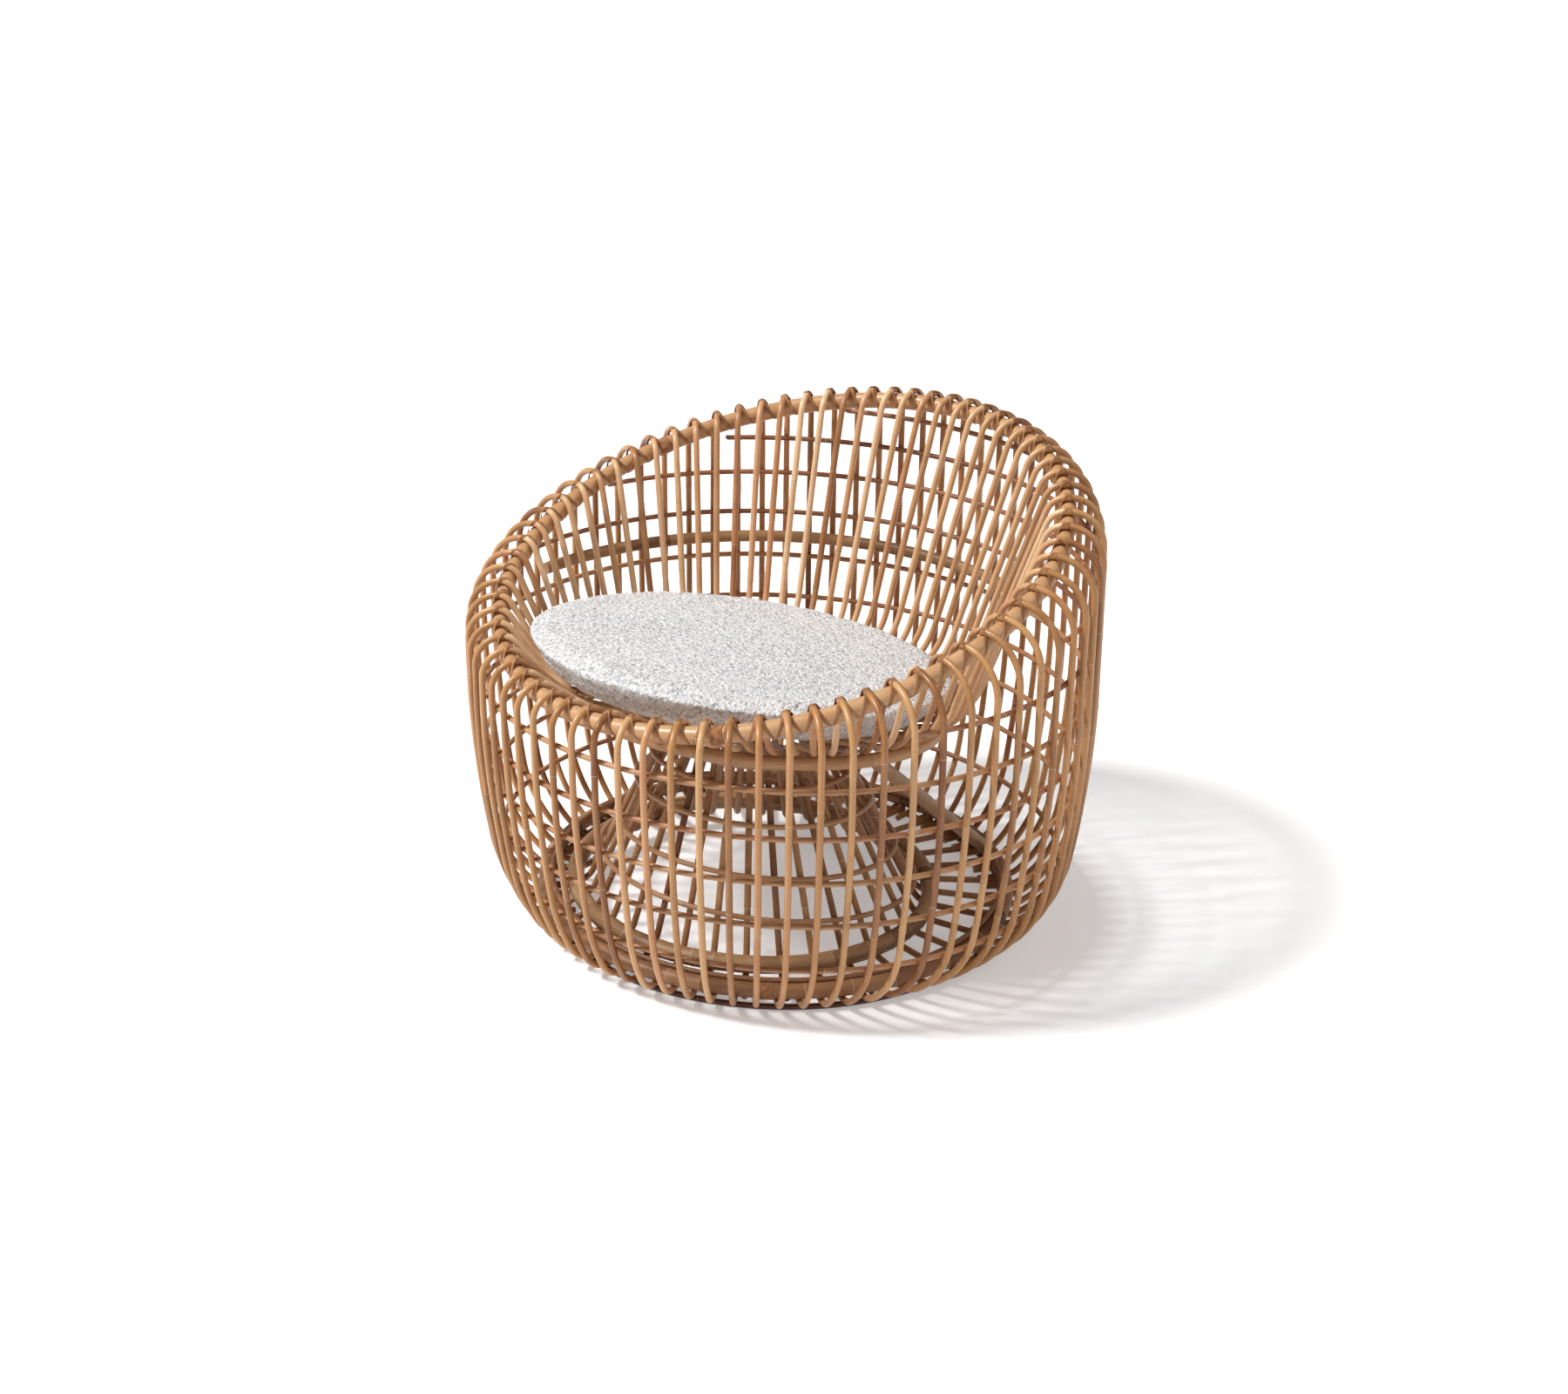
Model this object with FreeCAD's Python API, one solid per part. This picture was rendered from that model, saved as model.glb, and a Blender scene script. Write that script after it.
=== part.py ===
import FreeCAD, Part
import math
import os
from FreeCAD import Vector

# Round rattan tub chair: a basket wall, a funnel that holds the seat and a flared
# pedestal, all of bent cane on thick pole rings, with a loose round cushion.
# Millimetres. +Z is up, the front faces -Y, the origin is on the floor under the basket.

# Stock sizes
cane_diameter = 9.2
hoop_diameter = 7.6
floor_hoop_diameter = 8.4
floor_hoop_planed = 0.5
rim_pole_diameter = 24.0
rail_diameter = 18.0
seat_pole_diameter = 19.0
inner_base_diameter = 25.0
outer_base_diameter = 22.0
strut_diameter = 19.0
throat_ring_diameter = 12.0
binding_thickness = 1.6
binding_width = 18.0
lay_gap = 0.08
butt_gap = 0.5

# Basket wall: an oval, upright above the waist and bowed in below it
wall_half_width = 462.0
wall_half_depth = 428.0
waist_height = 373.0
bow_radius = 1450.0
haunch_height = 125.0
wall_hoop_heights = (96.5, 170.5, 238.0, 304.5, 373.0, 445.0, 510.0, 566.0, 617.0)

# Rim pole, low at the front and high at the back, inside the line of the wall
rim_side_inset = 62.0
rim_end_inset = 34.0
rim_height = 535.4
rim_tilt = 17.2
rim_binding_rib_numbers = (57, 45, 29)

# Ribs: canes that run up the wall, over the rim and down the funnel
rib_count = 72
rib_first_angle = 0.9
rib_gather = 2.0
rib_groups = 12
rib_lean = 1
rib_end_gap = 2.0
floor_hook_radius = 43.0
floor_hook_tail = 34.0
crook_least_radius = 18.0
crook_growth = 0.04

# Seat ring and pedestal, on an upright axis ahead of the basket's own
seat_axis_y = -55.0
seat_ring_front_inset = 69.0
seat_height = 330.0
seat_tilt = 8.5
seat_bend_radius = 100.0
seat_bend_room = 0.95
seat_contact_angle = 72.0
seat_finger = 1.5
pedestal_cane_count = 36
pedestal_groups = 6
seat_overhang = 4.0
throat_radius = 126.0
throat_drop = 54.0
throat_bend_radius = 45.0
upper_hoop_drops = (31.0, 79.0)
lower_hoop_rises = (86.0, 32.0)
pedestal_hoop_tilt = 7.0
base_hook_radius = 40.0
base_hook_reach = 10.0

# Rings near the floor: the outer one lies under the wall, the inner one inside it
outer_base_side_inset = 117.0
outer_base_end_inset = 95.0
outer_base_centre_y = -5.0
outer_base_joint_rib_numbers = (5, 47)
outer_base_binding_rib_numbers = (5, 47, 27, 71)
inner_base_side_inset = 75.0
inner_base_front_inset = 35.0
inner_base_height = 44.0
tuck_hoop_inset = 9.0

# Back rail: a bow behind the funnel, set in from the wall at both ends and its middle
rail_height = 408.0
rail_bearing_angles = (-97.0, -42.0, 16.0)
rail_insets = (14.5, 20.0, 32.0)

# Struts from the seat ring back to the outer ring on the floor
strut_top_angle = 99.0
strut_foot_angle_past_joint = 2.9

# Cushion: how far it reaches past the seat ring's line, and heights above its middle
cushion_crown_height = 32.0
cushion_shoulder_reach = 11.0
cushion_shoulder_height = 22.0
cushion_widest_reach = 26.5
cushion_widest_height = 12.0
cushion_flank_reach = 10.5
cushion_flank_height = -12.0
cushion_sole_reach = -10.5
cushion_sole_height = -27.0
cushion_underside_height = -37.0
cushion_forward = 25.0
cushion_rise = 64.0
cushion_extra_tilt = 2.0
cushion_cover_thickness = 2.0

# Heights that follow from what lies on what
floor_hoop_height = floor_hoop_diameter / 2 - floor_hoop_planed
floor_cane_height = floor_hoop_height + (floor_hoop_diameter + cane_diameter) / 2 + lay_gap
outer_base_lay = (outer_base_diameter + cane_diameter) / 2 + lay_gap
outer_base_height = floor_cane_height + outer_base_lay
rim_lay = (rim_pole_diameter + cane_diameter) / 2 + lay_gap
seat_lay = (seat_pole_diameter + cane_diameter) / 2 + lay_gap
inner_base_lay = (inner_base_diameter + cane_diameter) / 2 + lay_gap
hoop_lay = (hoop_diameter + cane_diameter) / 2 + lay_gap

# Rings and the cushion take their size and place from the wall and the seat ring
rim_half_width = wall_half_width - rim_side_inset
rim_half_depth = wall_half_depth - rim_end_inset
seat_ring_radius = rim_half_depth + seat_axis_y - seat_ring_front_inset
throat_height = seat_height - throat_drop
outer_base_half_width = wall_half_width - outer_base_side_inset
outer_base_half_depth = wall_half_depth - outer_base_end_inset
inner_base_half_width = outer_base_half_width - inner_base_side_inset
inner_base_half_depth = (outer_base_half_depth - outer_base_centre_y + seat_axis_y
                         - inner_base_front_inset)
cushion_shoulder = (seat_ring_radius + cushion_shoulder_reach, cushion_shoulder_height)
cushion_widest = (seat_ring_radius + cushion_widest_reach, cushion_widest_height)
cushion_flank = (seat_ring_radius + cushion_flank_reach, cushion_flank_height)
cushion_sole = (seat_ring_radius + cushion_sole_reach, cushion_sole_height)
cushion_centre_y = seat_axis_y - cushion_forward
cushion_height = seat_height + cushion_rise
cushion_tilt = seat_tilt + cushion_extra_tilt
pedestal_hoop_heights = ([throat_height - drop for drop in upper_hoop_drops]
                         + [inner_base_height + rise for rise in lower_hoop_rises])


def tangent_of(degrees):
    return math.tan(math.radians(degrees))


def plan_direction(degrees):
    # Angles in plan run from the back of the chair towards its +X side
    return (math.sin(math.radians(degrees)), math.cos(math.radians(degrees)))


# Ovals: four arcs that meet at 45 degrees, in the order back, left, front, right

def oval_arcs(half_width, half_depth):
    corner = math.sqrt(0.5)
    shift = (half_width - half_depth) / (2 * corner - 1) * corner
    end_radius = half_depth + shift
    side_radius = half_width - shift
    return (((0, -shift), end_radius, 90), ((-shift, 0), side_radius, 180),
            ((0, shift), end_radius, 270), ((shift, 0), side_radius, 0))


def oval_wire(half_width, half_depth, centre_y, height, tilt=0.0):
    edges = []
    for centre, radius, middle in oval_arcs(half_width, half_depth):
        points = []
        for degrees in (middle - 45, middle, middle + 45):
            turn = math.radians(degrees)
            points.append(Vector(centre[0] + radius * math.cos(turn),
                                 centre[1] + radius * math.sin(turn), 0))
        edges.append(Part.Arc(*points).toShape())
    edges = [edges[1], edges[2], edges[3], edges[0]]
    wire = Part.Wire(edges)
    wire.rotate(Vector(0, 0, 0), Vector(1, 0, 0), tilt)
    wire.translate(Vector(0, centre_y, height))
    return wire


def oval_reach(half_width, half_depth, centre_y, direction, start_y=seat_axis_y):
    # Distance in plan to the oval from a point on the middle line, which is the seat axis
    for centre, radius, middle in oval_arcs(half_width, half_depth):
        from_x = -centre[0]
        from_y = start_y - centre_y - centre[1]
        along = from_x * direction[0] + from_y * direction[1]
        apart = from_x ** 2 + from_y ** 2 - radius ** 2
        reach = -along + math.sqrt(along ** 2 - apart)
        bearing = math.degrees(math.atan2(from_y + reach * direction[1],
                                          from_x + reach * direction[0]))
        if abs((bearing - middle + 180) % 360 - 180) <= 45.001:
            return reach
    return 0.0


def tube(wire, diameter):
    start = wire.OrderedEdges[0]
    at = start.valueAt(start.FirstParameter)
    heading = start.tangentAt(start.FirstParameter)
    if start.Orientation == "Reversed":
        at = start.valueAt(start.LastParameter)
        heading = start.tangentAt(start.LastParameter) * -1
    profile = Part.Wire(Part.makeCircle(diameter / 2, at, heading))
    return wire.makePipeShell([profile], True, False)


def ring(half_width, half_depth, centre_y, height, diameter, tilt=0.0):
    return tube(oval_wire(half_width, half_depth, centre_y, height, tilt), diameter)


# Canes lie in upright planes: a direction in plan, and how far the plane passes to the
# side of the seat axis. Reach is the distance along the plane from beside that axis.

def cane_point(plane, reach, height):
    aside = plane[2] if len(plane) == 3 else 0.0
    return Vector(plane[0] * reach + plane[1] * aside,
                  seat_axis_y + plane[1] * reach - plane[0] * aside, height)


def run(plane, start, end):
    return Part.LineSegment(cane_point(plane, *start), cane_point(plane, *end)).toShape()


def on_circle(centre, radius, degrees):
    turn = math.radians(degrees)
    return (centre[0] + radius * math.cos(turn), centre[1] + radius * math.sin(turn))


def bend(plane, centre, radius, start, end):
    points = [cane_point(plane, *on_circle(centre, radius, turn))
              for turn in (start, (start + end) / 2, end)]
    return Part.Arc(*points).toShape()


def crossing(lay, tangent, plane, rise):
    # How far off a pole's middle a cane passes that crosses it at a slant: the pole runs
    # along the tangent, and the cane rises by this many degrees in its plane
    length = math.sqrt(sum(part ** 2 for part in tangent))
    level = math.cos(math.radians(rise))
    cane = (plane[0] * level, plane[1] * level, math.sin(math.radians(rise)))
    along = sum(a * b for a, b in zip(tangent, cane)) / length
    across = (tangent[0] * plane[1] - tangent[1] * plane[0]) / length
    return lay * math.sqrt(1 - along ** 2) / abs(across)


def rim_top(plane, direction):
    # Reach and height of a rib's centreline where it lies on top of the rim pole, above the
    # rim's point in this direction from the seat axis
    x, y = rim_plan(direction)
    reach = x * plane[0] + (y - seat_axis_y) * plane[1]
    slope = tangent_of(rim_tilt)
    outward = math.hypot(x, y)
    tangent = (y / outward, -x / outward, -x / outward * slope)
    return reach, rim_height + y * slope + crossing(rim_lay, tangent, plane, 0)


def rim_plan(direction):
    reach = oval_reach(rim_half_width, rim_half_depth, 0, direction)
    return direction[0] * reach, seat_axis_y + direction[1] * reach


def seat_ring_at(direction):
    depth = seat_ring_radius * math.cos(math.radians(seat_tilt))
    reach = 1 / math.hypot(direction[0] / seat_ring_radius, direction[1] / depth)
    return reach, seat_height - reach * direction[1] * tangent_of(seat_tilt)


def wall_shape(direction):
    # The bowed wall, the haunch and the hook under the outer ring, bend by bend
    wall = oval_reach(wall_half_width, wall_half_depth, 0, direction)
    foot = oval_reach(outer_base_half_width, outer_base_half_depth, outer_base_centre_y, direction)
    bow_centre = (wall - bow_radius, waist_height)
    bow_turn = -math.degrees(math.asin((waist_height - haunch_height) / bow_radius))
    hook_centre = (foot, floor_cane_height + floor_hook_radius)
    join = on_circle(bow_centre, bow_radius, bow_turn)
    outward = on_circle((0, 0), 1, bow_turn)
    across = (hook_centre[0] - join[0], hook_centre[1] - join[1])
    clear = across[0] * outward[0] + across[1] * outward[1] + floor_hook_radius
    haunch_radius = (floor_hook_radius ** 2 - across[0] ** 2 - across[1] ** 2) / (2 * clear)
    haunch_centre = (join[0] - haunch_radius * outward[0], join[1] - haunch_radius * outward[1])
    haunch_turn = math.degrees(math.atan2(hook_centre[1] - haunch_centre[1],
                                          hook_centre[0] - haunch_centre[0]))
    return {"wall": wall, "bow_centre": bow_centre, "bow_turn": bow_turn,
            "haunch_centre": haunch_centre, "haunch_radius": haunch_radius,
            "haunch_turn": haunch_turn, "hook_centre": hook_centre}


def wall_hoop_reach(direction, height):
    # Reach of a hoop's centreline that lies inside the ribs at this height
    shape = wall_shape(direction)
    if height >= waist_height:
        return shape["wall"] - hoop_lay
    centre = shape["bow_centre"]
    radius = bow_radius
    if height < haunch_height:
        centre = shape["haunch_centre"]
        radius = shape["haunch_radius"]
    return centre[0] + math.sqrt((radius - hoop_lay) ** 2 - (height - centre[1]) ** 2)


def outer_rib(direction):
    # From the top of the rim down the wall, and in under the outer ring on the floor
    shape = wall_shape(direction)
    reach, top = rim_top(direction, direction)
    shoulder = shape["wall"] - reach
    tail = (shape["hook_centre"][0] - floor_hook_tail, floor_cane_height)
    return Part.Wire([
        bend(direction, (reach, top - shoulder), shoulder, 90, 0),
        run(direction, (shape["wall"], top - shoulder), (shape["wall"], waist_height)),
        bend(direction, shape["bow_centre"], bow_radius, 0, shape["bow_turn"]),
        bend(direction, shape["haunch_centre"], shape["haunch_radius"],
             shape["bow_turn"], shape["haunch_turn"]),
        bend(direction, shape["hook_centre"], floor_hook_radius, shape["haunch_turn"], -90),
        run(direction, (shape["hook_centre"][0], floor_cane_height), tail)])


def seat_bend_of(across, down, crook, lay):
    # The bend over the seat ring is limited where the ring is close below the crook: past
    # this size no straight run is left between the two bends
    inward, upward = on_circle((0, 0), 1, 180 - seat_contact_angle)
    toward = across * inward + down * upward
    spare = toward - lay + crook
    if spare <= 0:
        return seat_bend_radius
    largest = (across ** 2 + down ** 2 - 2 * lay * toward + lay ** 2 - crook ** 2) / (2 * spare)
    return min(seat_bend_radius, seat_bend_room * largest)


def inner_rib(top_direction, foot_direction):
    # From the top of the rim down the funnel, and in over the seat ring. Its upright plane
    # leans round the chair, from one direction at the rim to the next one at the seat.
    top_x, top_y = rim_plan(top_direction)
    ring_reach, seat_level = seat_ring_at(foot_direction)
    foot_x = foot_direction[0] * ring_reach
    foot_y = seat_axis_y + foot_direction[1] * ring_reach
    length = math.hypot(top_x - foot_x, top_y - foot_y)
    along = ((top_x - foot_x) / length, (top_y - foot_y) / length)
    aside = foot_x * along[1] - (foot_y - seat_axis_y) * along[0]
    plane = (along[0], along[1], aside)
    seat_reach = foot_x * along[0] + (foot_y - seat_axis_y) * along[1]
    reach, top = rim_top(plane, top_direction)
    crook = crook_least_radius + crook_growth * (top - seat_level)
    crook_centre = (reach, top - crook)
    tangent = (foot_direction[1], -foot_direction[0], foot_direction[0] * tangent_of(seat_tilt))
    lay = crossing(seat_lay, tangent, plane, 90 - seat_contact_angle)
    seat_bend = seat_bend_of(crook_centre[0] - seat_reach, crook_centre[1] - seat_level,
                             crook, lay)
    bend_centre = on_circle((seat_reach, seat_level), seat_bend + lay, 180 - seat_contact_angle)
    inward = crook_centre[0] - bend_centre[0]
    downward = crook_centre[1] - bend_centre[1]
    slope = math.degrees(math.atan2(downward, inward)
                         + math.asin((crook + seat_bend) / math.hypot(inward, downward)))
    leg_start = on_circle(crook_centre, crook, 90 + slope)
    leg_end = on_circle(bend_centre, seat_bend, slope - 90)
    finger_start = on_circle(bend_centre, seat_bend, -seat_contact_angle)
    finger_end = on_circle(finger_start, seat_finger, 270 - seat_contact_angle)
    first = 90 + math.degrees(rib_end_gap / crook)
    return Part.Wire([
        bend(plane, crook_centre, crook, first, 90 + slope),
        run(plane, leg_start, leg_end),
        bend(plane, bend_centre, seat_bend, slope - 90, -seat_contact_angle),
        run(plane, finger_start, finger_end)])


def throat_at(direction):
    # The throat slopes with the seat
    return throat_height - throat_radius * direction[1] * tangent_of(seat_tilt)


def pedestal_shape(direction):
    # Each bend is tangent to the runs beside it, and the cane touches all three rings
    seat = seat_ring_at(direction)
    throat = (throat_radius + throat_bend_radius, throat_at(direction))
    inward = seat[0] - throat[0]
    downward = seat[1] - throat[1]
    entry = math.degrees(math.atan2(downward, inward) - math.asin(
        (throat_bend_radius - seat_lay) / math.hypot(inward, downward)))
    over_seat = on_circle(seat, seat_lay, 90 + entry)
    start = on_circle(over_seat, seat_overhang, entry)
    ring_reach = oval_reach(inner_base_half_width, inner_base_half_depth, seat_axis_y, direction)
    hook_rise = math.sqrt((base_hook_radius - inner_base_lay) ** 2 - base_hook_reach ** 2)
    hook = (ring_reach + base_hook_reach, inner_base_height + hook_rise)
    flare_line = math.hypot(hook[0] - throat[0], hook[1] - throat[1])
    flare = math.degrees(math.atan2(hook[1] - throat[1], hook[0] - throat[0]) - math.acos(
        (throat_bend_radius - base_hook_radius) / flare_line))
    outer_ring = (oval_reach(outer_base_half_width, outer_base_half_depth,
                             outer_base_centre_y, direction), outer_base_height)
    spoke_line = math.hypot(outer_ring[0] - hook[0], outer_ring[1] - hook[1])
    spoke = math.degrees(math.atan2(outer_ring[1] - hook[1], outer_ring[0] - hook[0])
                         - math.acos((base_hook_radius - outer_base_lay) / spoke_line))
    end = on_circle(outer_ring, outer_base_lay, spoke)
    return {"start": start, "throat": throat, "entry": entry, "hook": hook,
            "flare": flare, "spoke": spoke, "end": end}


def pedestal_hoop_reach(direction, height):
    # Where the plane of a hoop outside the canes meets their flared run
    shape = pedestal_shape(direction)
    top = on_circle(shape["throat"], throat_bend_radius - hoop_lay, shape["flare"])
    low = on_circle(shape["hook"], base_hook_radius - hoop_lay, shape["flare"])
    growth = (low[0] - top[0]) / (top[1] - low[1])
    fall = direction[1] * tangent_of(pedestal_hoop_tilt)
    return (top[0] + growth * (top[1] - height)) / (1 - growth * fall)


def pedestal_cane(direction):
    # In over the seat ring, down through the throat, out under both rings on the floor
    shape = pedestal_shape(direction)
    return Part.Wire([
        run(direction, shape["start"],
            on_circle(shape["throat"], throat_bend_radius, 90 + shape["entry"])),
        bend(direction, shape["throat"], throat_bend_radius,
             90 + shape["entry"], 360 + shape["flare"]),
        run(direction, on_circle(shape["throat"], throat_bend_radius, shape["flare"]),
            on_circle(shape["hook"], base_hook_radius, shape["flare"])),
        bend(direction, shape["hook"], base_hook_radius, shape["flare"], shape["spoke"]),
        run(direction, on_circle(shape["hook"], base_hook_radius, shape["spoke"]),
            shape["end"])])


def rib_direction(number):
    # Ribs are spaced by eye and stand a little closer together at the back
    angle = rib_first_angle + 360.0 / rib_count * number
    angle -= rib_gather * math.sin(math.radians(angle))
    x, y = plan_direction(angle)
    reach = math.hypot(x / wall_half_width, y / wall_half_depth)
    x = x / reach
    y = y / reach - seat_axis_y
    return (x / math.hypot(x, y), y / math.hypot(x, y))


def gap_direction(number):
    # Midway between a rib and the next one
    first = rib_direction(number)
    second = rib_direction(number + 1)
    x = first[0] + second[0]
    y = first[1] + second[1]
    return (x / math.hypot(x, y), y / math.hypot(x, y))


def pedestal_direction(number):
    # A pedestal cane stands in every second gap between the ribs
    return gap_direction(2 * number)


front = (0.0, -1.0)
back = (0.0, 1.0)
side = (1.0, 0.0)
parts = {}


# Thick poles

def rim_pole(diameter):
    slope = math.cos(math.radians(rim_tilt))
    return ring(rim_half_width, rim_half_depth / slope, 0, rim_height, diameter, rim_tilt)


def seat_ring(diameter):
    return ring(seat_ring_radius, seat_ring_radius, seat_axis_y, seat_height, diameter,
                -seat_tilt)


def outer_base_ring(diameter):
    return ring(outer_base_half_width, outer_base_half_depth, outer_base_centre_y,
                outer_base_height, diameter)


def tuck_hoop(diameter):
    # A thin hoop that lies on the inner shoulder of the outer ring on the floor
    apart = (outer_base_diameter + hoop_diameter) / 2 + lay_gap
    return ring(outer_base_half_width - tuck_hoop_inset, outer_base_half_depth - tuck_hoop_inset,
                outer_base_centre_y,
                outer_base_height + math.sqrt(apart ** 2 - tuck_hoop_inset ** 2), diameter)


def throat_ring():
    radius = throat_radius + (cane_diameter + throat_ring_diameter) / 2 + lay_gap
    tilt = math.degrees(math.atan(throat_radius / radius * tangent_of(seat_tilt)))
    return ring(radius, radius / math.cos(math.radians(tilt)), seat_axis_y, throat_height,
                throat_ring_diameter, -tilt)


def outer_base_point(direction):
    reach = oval_reach(outer_base_half_width, outer_base_half_depth, outer_base_centre_y,
                       direction)
    return cane_point(direction, reach, outer_base_height)


def rim_point(direction):
    reach = oval_reach(rim_half_width, rim_half_depth, 0, direction)
    y = seat_axis_y + direction[1] * reach
    return cane_point(direction, reach, rim_height + y * tangent_of(rim_tilt))


def sawn(shape, start, end, keep_left):
    # The part of a shape on one side of the upright plane through two points
    size = 3 * wall_half_width
    near = butt_gap / 2 if keep_left else -butt_gap / 2 - size
    half_space = Part.makeBox(size, size, size, Vector(-size / 2, near, -size / 2))
    half_space.rotate(Vector(0, 0, 0), Vector(0, 0, 1),
                      math.degrees(math.atan2(end.y - start.y, end.x - start.x)))
    half_space.translate((start + end) / 2)
    return shape.common(half_space)


def strut(side_sign):
    top_x, top_y = plan_direction(strut_top_angle)
    joint_x, joint_y = gap_direction(outer_base_joint_rib_numbers[0])
    foot_x, foot_y = plan_direction(math.degrees(math.atan2(joint_x, joint_y))
                                    + strut_foot_angle_past_joint)
    reach, level = seat_ring_at((top_x, top_y))
    top = Vector(side_sign * top_x * reach, seat_axis_y + top_y * reach, level)
    foot = outer_base_point((side_sign * foot_x, foot_y))
    pole = tube(Part.Wire([Part.LineSegment(top, foot).toShape()]), strut_diameter)
    pole = pole.cut(seat_ring(seat_pole_diameter + 2 * lay_gap))
    pole = pole.cut(outer_base_ring(outer_base_diameter + 2 * lay_gap))
    pole = pole.cut(tuck_hoop(hoop_diameter + 2 * lay_gap))
    return max(pole.Solids, key=lambda solid: solid.Volume)


def bindings(rib_numbers, ring_of, diameter, point_of):
    # Sleeves of wrapped peel on a pole, each in the gap after a rib
    sleeves = []
    outside = ring_of(diameter + 2 * (lay_gap + binding_thickness))
    inside = ring_of(diameter + 2 * lay_gap)
    for rib_number in rib_numbers:
        direction = gap_direction(rib_number)
        length = 3 * diameter
        window = Part.makeBox(length, binding_width, length,
                              Vector(-length / 2, -binding_width / 2, -length / 2))
        window.rotate(Vector(0, 0, 0), Vector(0, 0, 1),
                      math.degrees(math.atan2(direction[1], direction[0])))
        window.translate(point_of(direction))
        sleeves.append(outside.common(window).cut(inside))
    return sleeves


parts["rim_pole"] = rim_pole(rim_pole_diameter)
parts["rim_bindings"] = Part.makeCompound(
    bindings(rim_binding_rib_numbers, rim_pole, rim_pole_diameter, rim_point))
parts["seat_ring"] = seat_ring(seat_pole_diameter)
parts["throat_ring"] = throat_ring()
parts["inner_base_ring"] = ring(inner_base_half_width, inner_base_half_depth, seat_axis_y,
                                inner_base_height, inner_base_diameter)
joint_right, joint_left = [outer_base_point(gap_direction(rib_number))
                           for rib_number in outer_base_joint_rib_numbers]
parts["outer_base_back_pole"] = sawn(outer_base_ring(outer_base_diameter),
                                     joint_left, joint_right, True)
parts["outer_base_front_pole"] = sawn(outer_base_ring(outer_base_diameter),
                                      joint_left, joint_right, False)
base_sleeves = bindings(outer_base_binding_rib_numbers, outer_base_ring, outer_base_diameter,
                        outer_base_point)
groove = tuck_hoop(hoop_diameter + 2 * lay_gap)
parts["outer_base_bindings"] = Part.makeCompound([sleeve.cut(groove) for sleeve in base_sleeves])
parts["tuck_hoop"] = tuck_hoop(hoop_diameter)
parts["strut_left"] = strut(-1)
parts["strut_right"] = strut(1)
rail_points = []
for bearing_angle, inset in zip(rail_bearing_angles, rail_insets):
    x, y = plan_direction(bearing_angle)
    reach = oval_reach(wall_half_width - inset, wall_half_depth - inset, 0, (x, y), 0)
    rail_points.append(Vector(x * reach, y * reach, rail_height))
parts["back_rail"] = tube(Part.Wire([Part.Arc(*rail_points).toShape()]), rail_diameter)


# Thin hoops

def fitted_oval(reach_at, count, direction_of, outside):
    # The oval through the four quarter points, eased until it clears every cane
    back_reach = reach_at(back)
    front_reach = reach_at(front)
    centre_y = seat_axis_y + (back_reach - front_reach) / 2
    half_depth = (back_reach + front_reach) / 2
    half_width = reach_at(side)
    for step in range(3):
        half_width += reach_at(side) - oval_reach(half_width, half_depth, centre_y, side)
    misfits = []
    for number in range(count):
        direction = direction_of(number)
        misfits.append(reach_at(direction)
                       - oval_reach(half_width, half_depth, centre_y, direction))
    ease = max(misfits) if outside else min(misfits)
    return half_width + ease, half_depth + ease, centre_y


def wall_hoop(height):
    # Inside the ribs; where the rim dips below it at the front, only the back is left
    half_width, half_depth, centre_y = fitted_oval(
        lambda direction: wall_hoop_reach(direction, height), rib_count, rib_direction, False)
    hoop = ring(half_width, half_depth, centre_y, height, hoop_diameter)
    carrying = []
    for number in range(rib_count):
        direction = rib_direction(number)
        reach, top = rim_top(direction, direction)
        wall = wall_shape(direction)["wall"]
        if top - (wall - reach) > height:
            carrying.append(seat_axis_y + direction[1] * wall)
    if len(carrying) == rib_count:
        return hoop
    size = 3 * wall_half_width
    end_y = min(carrying) - hoop_diameter
    return hoop.common(Part.makeBox(size, size, size, Vector(-size / 2, end_y, 0)))


def pedestal_hoop(height):
    half_width, half_depth, centre_y = fitted_oval(
        lambda direction: pedestal_hoop_reach(direction, height),
        pedestal_cane_count, pedestal_direction, True)
    level = height - (centre_y - seat_axis_y) * tangent_of(pedestal_hoop_tilt)
    half_length = half_depth / math.cos(math.radians(pedestal_hoop_tilt))
    return ring(half_width, half_length, centre_y, level, hoop_diameter, -pedestal_hoop_tilt)


for number, height in enumerate(wall_hoop_heights):
    parts["wall_hoop_%d" % (number + 1)] = wall_hoop(height)
for number, height in enumerate(pedestal_hoop_heights):
    parts["pedestal_hoop_%d" % (number + 1)] = pedestal_hoop(height)
floor_hoop = ring(outer_base_half_width, outer_base_half_depth, outer_base_centre_y,
                  floor_hoop_height, floor_hoop_diameter)
planed_size = 3 * wall_half_width
parts["floor_hoop"] = floor_hoop.common(Part.makeBox(
    planed_size, planed_size, floor_hoop_diameter,
    Vector(-planed_size / 2, -planed_size / 2, 0)))


# Canes, in groups of neighbours

def cane_groups(name, count, groups, path_of):
    per_group = count // groups
    for group in range(groups):
        canes = [tube(path_of(number), cane_diameter)
                 for number in range(group * per_group, (group + 1) * per_group)]
        parts["%s_%02d" % (name, group + 1)] = Part.makeCompound(canes)


cane_groups("outer_ribs", rib_count, rib_groups, lambda number: outer_rib(rib_direction(number)))
cane_groups("inner_ribs", rib_count, rib_groups, lambda number: inner_rib(
    rib_direction(number), rib_direction(number - rib_lean)))
cane_groups("pedestal_canes", pedestal_cane_count, pedestal_groups,
            lambda number: pedestal_cane(pedestal_direction(number)))


# Cushion: crowned above and below, its flank drawn in to sit down in the funnel

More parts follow.
